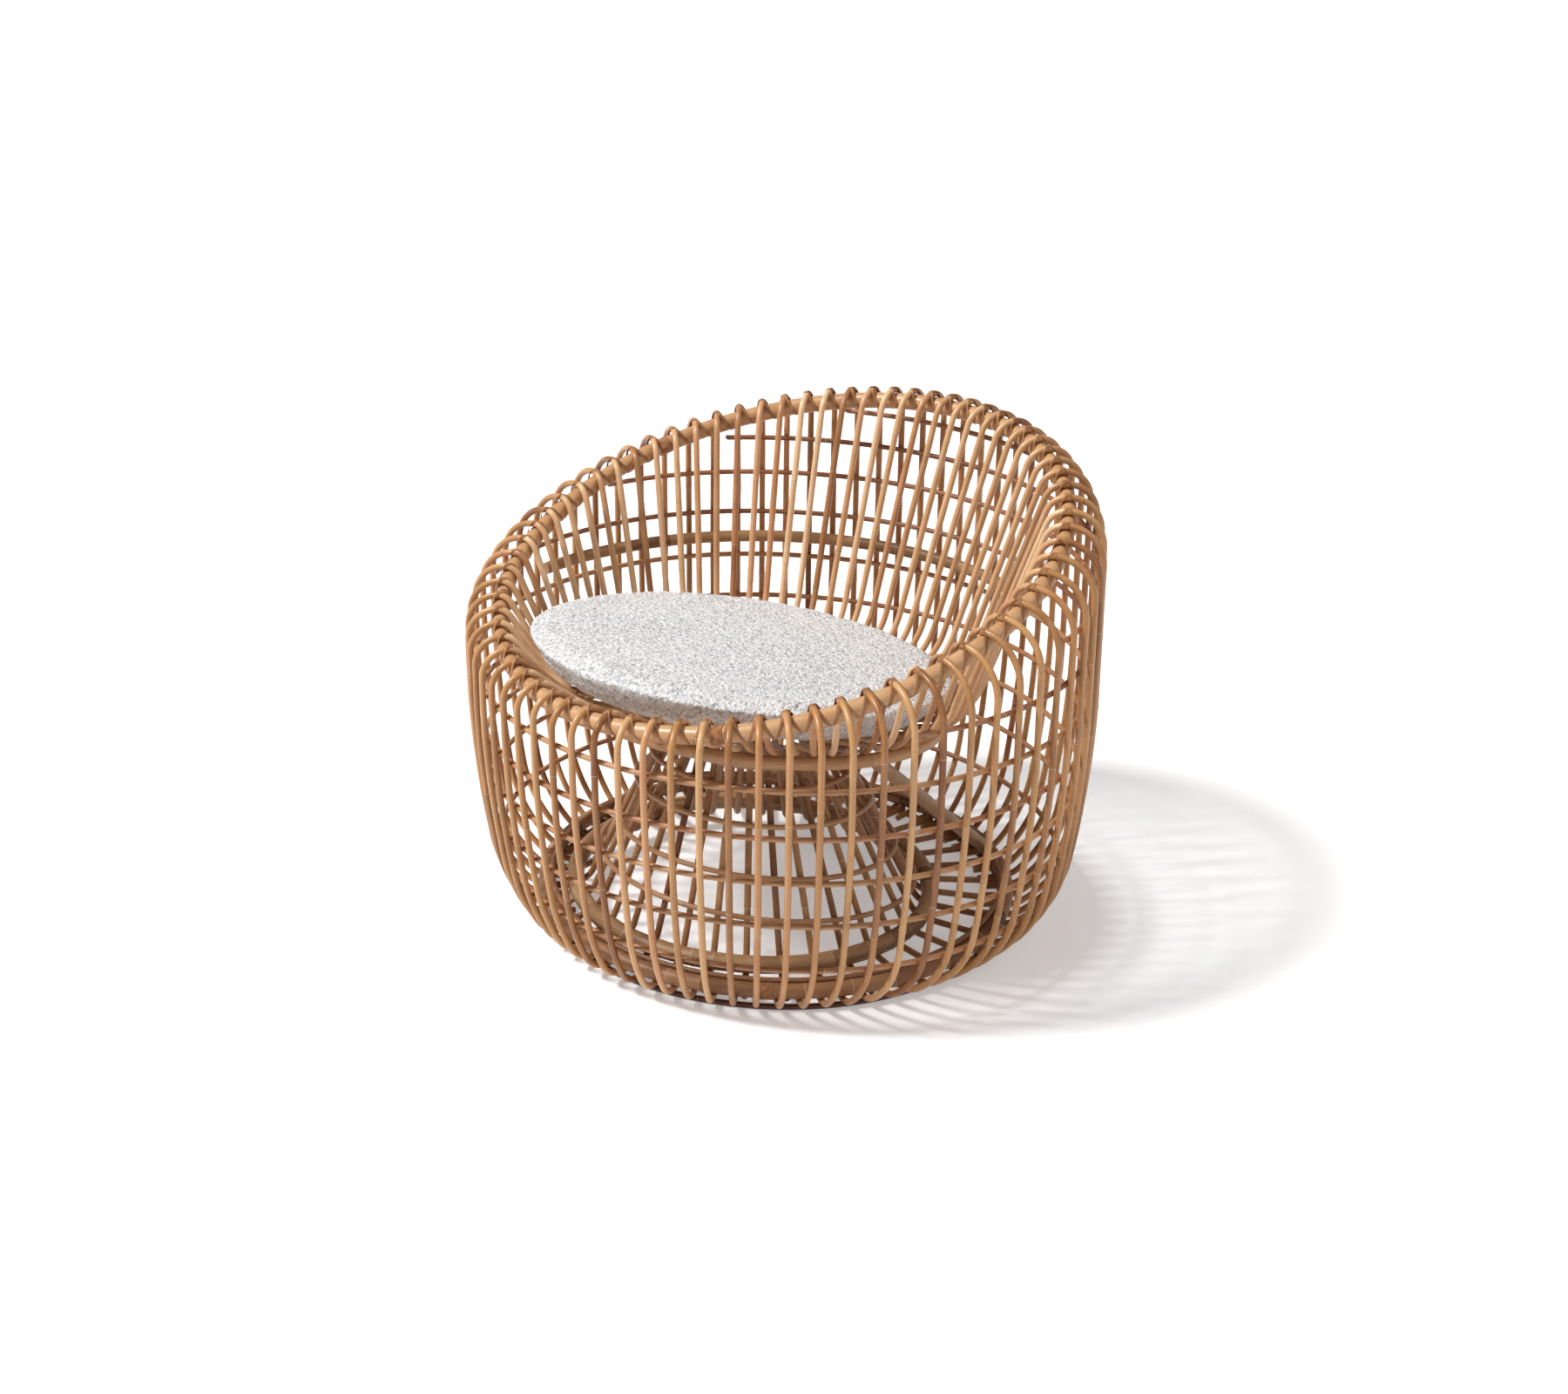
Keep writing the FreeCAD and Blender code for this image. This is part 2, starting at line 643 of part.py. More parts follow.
def crown_middle(centre_height, edge):
    # Half way along an arc that is level on the axis
    rise = centre_height - edge[1]
    radius = (edge[0] ** 2 + rise ** 2) / (2 * rise)
    half = math.asin(edge[0] / radius) / 2
    return Vector(radius * math.sin(half), 0, centre_height - radius * (1 - math.cos(half)))


def cushion_body(inset):
    # The filling is the same body with each corner moved in by the cover's thickness
    top = cushion_crown_height - inset
    shoulder = (cushion_shoulder[0] - inset, cushion_shoulder[1] - inset)
    widest = (cushion_widest[0] - inset, cushion_widest[1])
    flank = (cushion_flank[0] - inset, cushion_flank[1] + inset / 2)
    sole = (cushion_sole[0] - inset, cushion_sole[1] + inset)
    bottom = cushion_underside_height + inset
    outward = widest[0] - shoulder[0]
    upward = shoulder[1] - widest[1]
    roll = (outward ** 2 + upward ** 2) / (2 * outward)
    half_turn = math.asin(upward / roll) / 2
    roll_middle = Vector(widest[0] - roll * (1 - math.cos(half_turn)), 0,
                         widest[1] + roll * math.sin(half_turn))
    crown = Vector(0, 0, top)
    underside = Vector(0, 0, bottom)
    corners = [Vector(at[0], 0, at[1]) for at in (shoulder, widest, flank, sole)]
    outline = Part.Wire([
        Part.Arc(crown, crown_middle(top, shoulder), corners[0]).toShape(),
        Part.Arc(corners[0], roll_middle, corners[1]).toShape(),
        Part.Arc(corners[1], corners[2], corners[3]).toShape(),
        Part.Arc(corners[3], crown_middle(bottom, sole), underside).toShape(),
        Part.LineSegment(underside, crown).toShape()])
    body = Part.Face(outline).revolve(Vector(0, 0, 0), Vector(0, 0, 1), 360)
    body.rotate(Vector(0, 0, 0), Vector(1, 0, 0), -cushion_tilt)
    body.translate(Vector(0, cushion_centre_y, cushion_height))
    return body


parts["cushion_filling"] = cushion_body(cushion_cover_thickness)
parts["cushion_cover"] = cushion_body(0).cut(parts["cushion_filling"])

os.makedirs("parts", exist_ok=True)
for name, shape in parts.items():
    shape.exportStep("parts/%s.step" % name)
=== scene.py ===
import math
import random

import bmesh
import bpy
from mathutils import Matrix, Vector, noise


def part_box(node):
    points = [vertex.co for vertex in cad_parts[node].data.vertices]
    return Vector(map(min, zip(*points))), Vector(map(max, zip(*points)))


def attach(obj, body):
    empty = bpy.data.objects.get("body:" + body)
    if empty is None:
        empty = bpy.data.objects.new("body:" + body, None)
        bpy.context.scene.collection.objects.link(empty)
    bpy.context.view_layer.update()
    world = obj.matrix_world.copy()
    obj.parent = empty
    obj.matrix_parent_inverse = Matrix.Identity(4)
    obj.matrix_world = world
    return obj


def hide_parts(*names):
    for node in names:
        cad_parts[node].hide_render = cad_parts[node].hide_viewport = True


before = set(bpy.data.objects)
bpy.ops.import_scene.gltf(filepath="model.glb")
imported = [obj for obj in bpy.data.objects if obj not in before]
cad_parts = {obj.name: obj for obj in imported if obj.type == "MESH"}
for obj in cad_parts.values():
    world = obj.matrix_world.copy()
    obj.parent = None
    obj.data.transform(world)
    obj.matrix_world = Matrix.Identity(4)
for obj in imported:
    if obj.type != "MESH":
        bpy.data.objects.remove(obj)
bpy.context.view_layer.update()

mm = 0.001
dice = random.Random(41)
noise.seed_set(41)                         # or noise vectors differ from run to run


def rgb(red, green, blue):
    # a colour as a screen shows it, 0 to 255, in the shader's linear terms
    return tuple((part / 255 / 12.92 if part < 11 else ((part / 255 + 0.055) / 1.055) ** 2.4)
                 for part in (red, green, blue)) + (1.0,)


white = (1.0, 1.0, 1.0, 1.0)
black = (0.0, 0.0, 0.0, 1.0)


class Sock:                                # an output that sums and products can use
    def __init__(self, paint, out):
        self.paint = paint
        self.out = out

    def sum(self, operation, first, second):
        return self.paint.node("Math", {"operation": operation}, {0: first, 1: second})

    def __add__(self, other):
        return self.sum("ADD", self, other)

    def __radd__(self, other):
        return self.sum("ADD", other, self)

    def __sub__(self, other):
        return self.sum("SUBTRACT", self, other)

    def __rsub__(self, other):
        return self.sum("SUBTRACT", other, self)

    def __mul__(self, other):
        return self.sum("MULTIPLY", self, other)

    def __rmul__(self, other):
        return self.sum("MULTIPLY", other, self)


class Paint:                               # one material and the tree behind it
    def __init__(self, name, **fixed):
        self.material = bpy.data.materials.new(name)
        self.material.use_nodes = True
        self.tree = self.material.node_tree
        self.shader = self.tree.nodes["Principled BSDF"]
        for socket, value in fixed.items():
            self.shader.inputs[socket.replace("_", " ")].default_value = value

    def node(self, kind, settings=None, sockets=None, out=0):
        made = self.tree.nodes.new("ShaderNode" + kind)
        for key, value in (settings or {}).items():
            if key != "stops":
                setattr(made, key, value)
                continue
            elements = made.color_ramp.elements
            for spot, colour in value[2:]:
                elements.new(spot)
            for element, (spot, colour) in zip(elements, value):
                element.position = spot
                element.color = colour
        for key, value in (sockets or {}).items():
            self.feed(made.inputs[key], value)
        return Sock(self, made.outputs[out])

    def feed(self, socket, value):
        if isinstance(value, Sock):
            self.tree.links.new(value.out, socket)
        else:
            socket.default_value = value

    def mix(self, share, first, second, blend="MIX"):
        return self.node("Mix", {"data_type": "RGBA", "blend_type": blend},
                         {0: share, 6: first, 7: second}, out=2)

    def ramp(self, share, *stops):
        return self.node("ValToRGB", {"stops": stops}, {0: share})

    def place(self):
        return self.node("TexCoord", out="Object")

    def noise(self, place, scale, detail=3.0, rough=0.55):
        return self.node("TexNoise", None, {"Vector": place, "Scale": scale, "Detail": detail,
                                            "Roughness": rough})

    def stretched(self, place, x, y, z):
        return self.node("Mapping", None, {"Vector": place, "Scale": (x, y, z)})

    def finish(self, colour, roughness, height, distance, strength):
        normal = self.node("Bump", None, {"Height": height, "Distance": distance,
                                          "Strength": strength}, out="Normal")
        self.feed(self.shader.inputs["Base Color"], colour)
        self.feed(self.shader.inputs["Roughness"], roughness)
        self.feed(self.shader.inputs["Normal"], normal)
        return self.material


class Sky(Paint):                          # the world's tree, with its background
    def __init__(self, name):
        world = bpy.data.worlds.new(name)
        world.use_nodes = True
        bpy.context.scene.world = world
        self.tree = world.node_tree
        self.shader = self.tree.nodes["Background"]


# the look of each kind of cane: light, middle and dark ends of its tones, in screen colours,
# how rough it is, and how fine and how strong its fibres are
canePaints = {
    "rib": {"light": (228, 184, 134), "middle": (199, 148, 94), "dark": (130, 74, 32),
            "gloss": 0.24, "fibre": 760.0, "streaks": 0.34},
    # painted light: the next tones are the rib tones made paler, for the inner ribs that face
    # the light inside the funnel
    "funnel": {"light": (246, 210, 168), "middle": (216, 170, 122), "dark": (150, 94, 50),
               "gloss": 0.24, "fibre": 760.0, "streaks": 0.34},
    "shaded": {"light": (210, 166, 118), "middle": (172, 124, 78), "dark": (110, 64, 30),
               "gloss": 0.3, "fibre": 760.0, "streaks": 0.34},
    "hoop": {"light": (218, 174, 128), "middle": (188, 141, 98), "dark": (132, 84, 50),
             "gloss": 0.3, "fibre": 760.0, "streaks": 0.34},
    "redHoop": {"light": (192, 146, 108), "middle": (162, 115, 80), "dark": (114, 74, 48),
                "gloss": 0.32, "fibre": 760.0, "streaks": 0.34},
    # painted shade: the next tones are darker, for the floor hoop, which lies in shadow under
    # the chair
    "darkHoop": {"light": (134, 90, 62), "middle": (104, 66, 44), "dark": (74, 45, 32),
                 "gloss": 0.4, "fibre": 760.0, "streaks": 0.34},
    "palePole": {"light": (228, 188, 144), "middle": (202, 156, 110), "dark": (150, 100, 60),
                 "gloss": 0.26, "fibre": 380.0, "streaks": 0.5},
    "basePole": {"light": (206, 172, 130), "middle": (170, 131, 90), "dark": (102, 68, 38),
                 "gloss": 0.36, "fibre": 380.0, "streaks": 0.5},
    "peel": {"light": (206, 158, 108), "middle": (166, 116, 74), "dark": (108, 66, 38),
             "gloss": 0.32, "fibre": 760.0, "streaks": 0.34},
}


# what all canes share: noise scales across and along, and the colours laid over the tones
caneSkin = {"cloud": (60.0, 60.0, 14.0), "fibreAlong": 20.0, "fleck": (300.0, 300.0, 90.0),
            "shadeShare": 0.9, "cloudShare": 0.5, "dim": 0.2,
            "pink": (236, 208, 200), "pinkShare": 0.7,
            "spot": (104, 68, 44), "spotShare": 0.45,
            "ringEdge": (96, 62, 40), "edgeShare": 0.5,
            "ringCrest": (236, 208, 166), "crestShare": 0.55,
            "bumpDepth": 0.0004, "bumpStrength": 0.4}


def canePaint(name):
    # marks: the cane's own shade, how near a growth ring is, and how pink the cane is;
    # grain: a place whose third part runs along the cane
    look = canePaints[name]
    paint = Paint(name + "Cane", Specular_IOR_Level=0.5)
    marks = paint.node("Attribute", {"attribute_name": "marks"}, out="Color")
    shade = paint.node("SeparateColor", None, {0: marks}, out=0)
    knot = Sock(paint, shade.out.node.outputs[1])
    pink = Sock(paint, shade.out.node.outputs[2])
    grain = paint.node("Attribute", {"attribute_name": "grain"}, out="Vector")
    fibres = paint.stretched(grain, look["fibre"], look["fibre"], caneSkin["fibreAlong"])
    cloud = paint.noise(paint.stretched(grain, *caneSkin["cloud"]), 1.0, 3.0)
    streak = paint.noise(fibres, 1.0, 4.0, 0.65)
    fleck = paint.noise(paint.stretched(grain, *caneSkin["fleck"]), 1.0, 2.0)
    tone = (shade * caneSkin["shadeShare"] + cloud * caneSkin["cloudShare"]
            + streak * look["streaks"] - caneSkin["dim"] - look["streaks"] / 2)
    colour = paint.ramp(tone, (0.0, rgb(*look["dark"])), (0.5, rgb(*look["middle"])),
                        (1.0, rgb(*look["light"])))
    rosy = paint.mix(pink * caneSkin["pinkShare"], colour, rgb(*caneSkin["pink"]), "MULTIPLY")
    spots = paint.ramp(fleck, (0.27, white), (0.34, black))
    worn = paint.mix(spots * caneSkin["spotShare"], rosy, rgb(*caneSkin["spot"]))
    ringEdge = paint.ramp(knot, (0.05, black), (0.3, white), (0.55, black))
    edged = paint.mix(ringEdge * caneSkin["edgeShare"], worn, rgb(*caneSkin["ringEdge"]))
    ringCrest = paint.ramp(knot, (0.55, black), (0.75, white))
    ringed = paint.mix(ringCrest * caneSkin["crestShare"], edged, rgb(*caneSkin["ringCrest"]))
    rough = look["gloss"] + streak * 0.2 + knot * 0.15
    height = streak * 0.6 + cloud * 0.3 - knot * 0.3
    return paint.finish(ringed, rough, height, caneSkin["bumpDepth"], caneSkin["bumpStrength"])


# looped cloth: how fine its loops, curls and soft patches are, and its tones
cloth = {"loops": 230.0, "curl": 170.0, "patches": 9.0, "dark": (164, 164, 165),
         "middle": (218, 217, 216), "light": (248, 247, 245), "rough": 0.95,
         "bumpDepth": 0.003, "bumpStrength": 0.9}


def bouclePaint():
    paint = Paint("boucle", Specular_IOR_Level=0.15)
    place = paint.place()
    loops = paint.node("TexVoronoi", {"feature": "SMOOTH_F1"},
                       {"Vector": place, "Scale": cloth["loops"], "Smoothness": 0.3},
                       out="Distance")
    curl = paint.noise(place, cloth["curl"], 3.0, 0.65)
    soft = paint.noise(place, cloth["patches"], 2.0)
    shade = paint.ramp(curl * 0.9 + soft * 0.1 - loops * 0.16 + 0.05,
                       (0.3, rgb(*cloth["dark"])), (0.44, rgb(*cloth["middle"])),
                       (0.62, rgb(*cloth["light"])))
    return paint.finish(shade, cloth["rough"], curl * 0.8 - loops * 0.8,
                        cloth["bumpDepth"], cloth["bumpStrength"])


paints = {name: canePaint(name) for name in canePaints}
paints["boucle"] = bouclePaint()


def camel(node):
    words = node.split("_")
    return words[0] + "".join(word.capitalize() for word in words[1:])


def newPiece(name, bm, paintName, body, slotName, nodes=()):
    mesh = bpy.data.meshes.new(name)
    bm.to_mesh(mesh)
    bm.free()
    if "custom_normal" in mesh.attributes:
        mesh.attributes.remove(mesh.attributes["custom_normal"])
    piece = bpy.data.objects.new(name, mesh)
    bpy.context.scene.collection.objects.link(piece)
    mesh.materials.append(paints[paintName])
    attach(piece, body)
    if nodes:
        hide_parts(*nodes)
    return piece


# canes: each starts from its plain solid, and gets growth rings, tones and a hand-bent line
caneLook = {"weld": 0.002 * mm, "sharp": 0.9,
            "ringHalf": 1.6 * mm, "ringSwell": 1.06, "poleSwell": 1.04,
            "firstRing": 0.12, "ringGap": (0.12, 0.24), "stepTone": 0.1,
            "tone": 0.5, "toneSpread": 0.19, "pinkShare": 0.25,
            "wobble": 0.9 * mm, "wobbleScale": 6.0, "wobbleSeeds": 90,
            "crest": 9.4 * mm, "flatEnd": 0.2 * mm, "lap": 2.4 * mm,
            "seatAxisY": -55 * mm, "seam": math.radians(133)}


def islandsOf(bm):
    seen = set()
    islands = []
    for start in bm.verts:
        if start in seen:
            continue
        group = [start]
        seen.add(start)
        for vert in group:
            for edge in vert.link_edges:
                other = edge.other_vert(vert)
                if other not in seen:
                    seen.add(other)
                    group.append(other)
        islands.append(group)
    return islands


def cutAt(bm, faces, point, normal):
    # a ring of new corners where the plane crosses these faces
    geometry = list({item for face in faces for item in
                     (face, *face.edges, *face.verts)})
    cut = bmesh.ops.bisect_plane(bm, geom=geometry, plane_co=point, plane_no=normal,
                                 dist=1e-7)["geom_cut"]
    return [item for item in cut if isinstance(item, bmesh.types.BMVert)]


def swell(ring, factor):
    middle = sum((vert.co for vert in ring), Vector()) / len(ring)
    for vert in ring:
        vert.co = middle + (vert.co - middle) * factor


def paintable():
    # layers come first, because a new layer makes old handles on the corners stale
    bm = bmesh.new()
    bm.verts.layers.float_color.new("marks")
    bm.verts.layers.float_vector.new("grain")
    return bm


def caneCopy(node):
    bm = paintable()
    bm.from_mesh(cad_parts[node].data)
    bmesh.ops.remove_doubles(bm, verts=bm.verts, dist=caneLook["weld"])
    return bm


def markAndSmooth(bm, tones, knots, grain=None):
    # tones and grain: functions of a corner; knots: the corners on growth rings
    marks = bm.verts.layers.float_color["marks"]
    grains = bm.verts.layers.float_vector["grain"]
    for vert in bm.verts:
        tone, pink = tones(vert)
        vert[marks] = (tone, 1.0 if vert in knots else 0.0, pink, 1.0)
        vert[grains] = grain(vert) if grain else vert.co
    for face in bm.faces:
        face.smooth = True
    for edge in bm.edges:
        if len(edge.link_faces) == 2 and edge.calc_face_angle(0.0) > caneLook["sharp"]:
            edge.smooth = False


def caneTone():
    # most canes are honey-coloured, some are paler or darker, one in four is pinkish
    tone = min(1.0, max(0.0, dice.gauss(caneLook["tone"], caneLook["toneSpread"])))
    pinkish = dice.random() < caneLook["pinkShare"]
    return tone, dice.uniform(0.5, 1.0) if pinkish else dice.uniform(0.0, 0.2)


def ribPiece(node, paintName, slotName, low, high, lap=0.0):
    # low and high: the ends of each cane, in height, that take no growth rings;
    # lap: how far the end at the top is drawn on to meet the next cane
    bm = caneCopy(node)
    knots = set()
    shades = {}
    for island in islandsOf(bm):
        foot = min(vert.co.z for vert in island)
        top = max(vert.co.z for vert in island)
        if lap:
            drawOn(island, lap)
        seed = dice.uniform(0, caneLook["wobbleSeeds"])
        base, pink = caneTone()
        breaks = []
        height = foot + low + dice.uniform(0.0, caneLook["firstRing"])
        while height < top - high:
            breaks.append(height)
            height += dice.uniform(*caneLook["ringGap"])
        members = set(island)
        faces = {face for vert in island for face in vert.link_faces}
        for z in breaks:
            for level in (z - caneLook["ringHalf"], z, z + caneLook["ringHalf"]):
                faces = {face for face in faces if face.is_valid}
                met = [face for face in faces if min(v.co.z for v in face.verts) < level
                       < max(v.co.z for v in face.verts)]
                ring = cutAt(bm, met, Vector((0, 0, level)), Vector((0, 0, 1)))
                faces.update(face for vert in ring for face in vert.link_faces)
                members.update(ring)
                if level == z:
                    swell(ring, caneLook["ringSwell"])
                    knots.update(ring)
        step = caneLook["stepTone"]
        steps = [dice.uniform(-step, step) for item in range(len(breaks) + 1)]
        for vert in members:
            stretch = sum(vert.co.z > z for z in breaks)
            shades[vert] = (min(1.0, max(0.0, base + steps[stretch])), pink)
            at = vert.co * caneLook["wobbleScale"] + Vector((seed, seed * 0.7, seed * 0.3))
            vert.co += noise.noise_vector(at) * caneLook["wobble"]
    markAndSmooth(bm, lambda vert: shades.get(vert, (0.5, 0.1)), knots)
    return newPiece(camel(node), bm, paintName, "chair", slotName, [node])


def drawOn(island, lap):
    # the flat end on the crest of the rim: its corners are the nearest to the seat's axis
    axis = Vector((0, caneLook["seatAxisY"]))
    away = sum(((vert.co.xy - axis) for vert in island), Vector((0, 0))).normalized()
    top = max(vert.co.z for vert in island)
    crest = [vert for vert in island if vert.co.z > top - caneLook["crest"]]
    nearest = min((vert.co.xy - axis).dot(away) for vert in crest)
    for vert in crest:
        if (vert.co.xy - axis).dot(away) < nearest + caneLook["flatEnd"]:
            vert.co -= Vector((*away, 0)) * lap


def ringPiece(node, paintName, slotName, gaps, centreY=0.0, bands=0.16):
    # a pole or hoop that runs round: growth rings at uneven angles about an upright axis;
    # gaps: how far apart they are; bands: how much the tone changes from one to the next
    bm = caneCopy(node)
    knots = set()
    centre = Vector((0, centreY, 0))
    radius = sum((vert.co - centre).xy.length for vert in bm.verts) / len(bm.verts)
    angle = dice.uniform(0, 1)
    breaks = []
    while angle < 2 * math.pi:
        breaks.append(angle)
        angle += dice.uniform(*gaps) / radius
    half = caneLook["ringHalf"] / radius

    def turnOf(vert):
        return (math.atan2(vert.co.y - centreY, vert.co.x) - caneLook["seam"]) % (2 * math.pi)

    for turn in breaks:
        for offset in (-half, 0.0, half):
            heading = turn + offset + caneLook["seam"]
            along = Vector((math.cos(heading), math.sin(heading), 0))
            across = Vector((-along.y, along.x, 0))
            met = []
            for face in bm.faces:
                sides = [(vert.co - centre).dot(across) for vert in face.verts]
                if min(sides) < 0 < max(sides) and (face.verts[0].co - centre).dot(along) > 0:
                    met.append(face)
            if met:
                ring = cutAt(bm, met, centre, across)
                if offset == 0.0 and ring:
                    swell(ring, caneLook["poleSwell"])
                    knots.update(ring)
    steps = [dice.uniform(-bands, bands) for item in range(len(breaks) + 1)]
    base, pink = caneTone()
    base = 0.5 + (base - 0.5) * 0.5

    def tones(vert):
        stretch = sum(turnOf(vert) > b for b in breaks)
        return min(1.0, max(0.0, base + steps[stretch])), pink

    def grain(vert):
        flat = vert.co.xy - centre.xy
        return Vector((flat.length, vert.co.z, turnOf(vert) * radius))

    markAndSmooth(bm, tones, knots, grain)
    return newPiece(camel(node), bm, paintName, "chair", slotName, [node])


nodes = sorted(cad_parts)

# upright canes: paint, slot, the ends in height that take no growth rings, and the lap
uprights = {"outer_ribs": ("rib", "rib_cane", 0.1, 0.06, caneLook["lap"]),
            # the inner ribs' paint is painted light, paler than the outer ribs' because the
            # inside of the funnel is lit
            "inner_ribs": ("funnel", "rib_cane", 0.05, 0.045),
            "pedestal_canes": ("shaded", "pedestal_cane", 0.06, 0.09)}
for node in nodes:
    for kind in uprights:
        if node.startswith(kind):
            ribPiece(node, *uprights[kind])
print("ribs and pedestal canes done")

# hoops and poles: paint, slot, the gaps between growth rings, centre in y, and bands
hoops = {"wall_hoop": ("hoop", "hoop_cane", (0.16, 0.34)),
         "pedestal_hoop": ("hoop", "hoop_cane", (0.14, 0.3), caneLook["seatAxisY"])}
lastPaleHoop = 5
for node in nodes:
    for kind in hoops:
        if node.startswith(kind):
            paintName, *rest = hoops[kind]
            if kind == "wall_hoop" and int(node[-1]) > lastPaleHoop:
                paintName = "redHoop"
            ringPiece(node, paintName, *rest)
print("hoops done")

poles = {
    "rim_pole": ("palePole", "pale_pole", (0.2, 0.4), 0.0, 0.1),
    # back rail and base poles: rings set close with large tone steps, so these poles are banded
    # darker and lighter along their length
    "back_rail": ("basePole", "pale_pole", (0.05, 0.12), 0.0, 0.3),
    "seat_ring": ("palePole", "pale_pole", (0.2, 0.35), caneLook["seatAxisY"], 0.15),
    "inner_base_ring": ("basePole", "base_pole", (0.03, 0.07), caneLook["seatAxisY"], 0.3),
    "outer_base_front_pole": ("basePole", "base_pole", (0.04, 0.1), 0.0, 0.35),
    "outer_base_back_pole": ("basePole", "base_pole", (0.04, 0.1), 0.0, 0.35),
    "throat_ring": ("basePole", "base_pole", (0.15, 0.25), caneLook["seatAxisY"], 0.2),
    "tuck_hoop": ("redHoop", "dark_hoop", (0.2, 0.4), 0.0, 0.15),
    # the floor hoop's paint is painted shade, darker for the shadow under the chair
    "floor_hoop": ("darkHoop", "dark_hoop", (0.2, 0.4), 0.0, 0.15),
}
for node in poles:
    ringPiece(node, *poles[node])
for node in ("strut_left", "strut_right"):
    ribPiece(node, "basePole", "base_pole", 0.05, 0.05)
print("poles done")


# lashing: two strips of peel wound along the rim, one each way, that cross over each rib
lashing = {"poleRadius": 12 * mm, "caneRadius": 4.6 * mm, "width": 5.0 * mm,
           "thickness": 1.1 * mm, "steps": 18, "slack": 0.06, "overCane": 7 * mm,
           "crest": 0.2 * mm}


def rimStations():
    # at each rib, in order round the chair: the rim pole's middle, its outward side and its top
    tops = []
    for node in nodes:
        if node.startswith("outer_ribs"):
            bm = caneCopy(node)
            for island in islandsOf(bm):
                highest = max(vert.co.z for vert in island)
                crest = [vert.co for vert in island
                         if vert.co.z > highest - lashing["crest"]]
                top = sum(crest, Vector()) / len(crest)
                tops.append(top - Vector((0, 0, lashing["caneRadius"])))
            bm.free()
    tops.sort(key=lambda top: math.atan2(top.x, top.y))
    found = []
    for number, top in enumerate(tops):
        along = (tops[(number + 1) % len(tops)] - tops[number - 1]).normalized()
        outward = Vector((-along.y, along.x, 0)).normalized()
        up = along.cross(outward)
        if up.z < 0:
            up = -up
        drop = lashing["poleRadius"] + lashing["caneRadius"]
        found.append((top - up * drop, outward, up))
    return found


def ribbon(bm, path, outs, width, thickness):
    # a flat strip: a small oblong, extruded from point to point
    def corners(number):
        here = path[number]
        ahead = path[min(number + 1, len(path) - 1)] - path[max(number - 1, 0)]
        out = outs[number].normalized()
        side = ahead.cross(out).normalized()
        return [here + side * width / 2 * a + out * thickness * b
                for a, b in ((-1, 0), (1, 0), (0.7, 1), (-0.7, 1))]

    ring = [bm.verts.new(at) for at in corners(0)]
    edges = [bm.edges.new((ring[k], ring[(k + 1) % 4])) for k in range(4)]
    bmesh.ops.contextual_create(bm, geom=edges)
    for number in range(1, len(path)):
        made = bmesh.ops.extrude_edge_only(bm, edges=edges)["geom"]
        ring = [item for item in made if isinstance(item, bmesh.types.BMVert)]
        edges = [item for item in made if isinstance(item, bmesh.types.BMEdge)
                 and item.verts[0] in ring and item.verts[1] in ring]
        for vert, at in zip(ring, corners(number)):
            vert.co = at
    bmesh.ops.contextual_create(bm, geom=edges)


stations = rimStations()


def rimLashing():
    bm = paintable()
    steps = lashing["steps"]
    for way in (1, -1):
        path = []
        outs = []
        for number, (centre, outward, up) in enumerate(stations):
            nextCentre, nextOutward, nextUp = stations[(number + 1) % len(stations)]
            spacing = (nextCentre - centre).length
            for step in range(steps):
                share = step / steps
                turn = share - lashing["slack"] * math.sin(2 * math.pi * share)
                angle = math.pi / 2 - way * 2 * math.pi * turn
                side = outward.lerp(nextOutward, share).normalized()
                top = up.lerp(nextUp, share).normalized()
                out = side * math.cos(angle) + top * math.sin(angle)
                apart = min(share, 1 - share) * spacing / lashing["overCane"]
                lift = max(0.0, 1 - apart ** 2) * 2 * lashing["caneRadius"]
                path.append(centre.lerp(nextCentre, share)
                            + out * (lashing["poleRadius"] + lift))
                outs.append(out)
        path.append(path[0])
        outs.append(outs[0])
        ribbon(bm, path, outs, lashing["width"], lashing["thickness"])
    bmesh.ops.recalc_face_normals(bm, faces=bm.faces)
    markAndSmooth(bm, lambda vert: (0.5 + 0.4 * noise.noise(vert.co * 40), 0.1), set())
    newPiece("rimLashing", bm, "peel", "chair", "peel")


rimLashing()


# bindings: peel wound close round a pole, so the sleeve is a row of fine ridges
binding = {"turn": 1.5 * mm, "ridge": 0.5 * mm, "wide": 18 * mm, "sides": 28,
           "inside": 0.2 * mm, "proud": 0.5 * mm, "lip": 0.8 * mm,
           "rimRadius": 12 * mm, "baseRadius": 11 * mm}


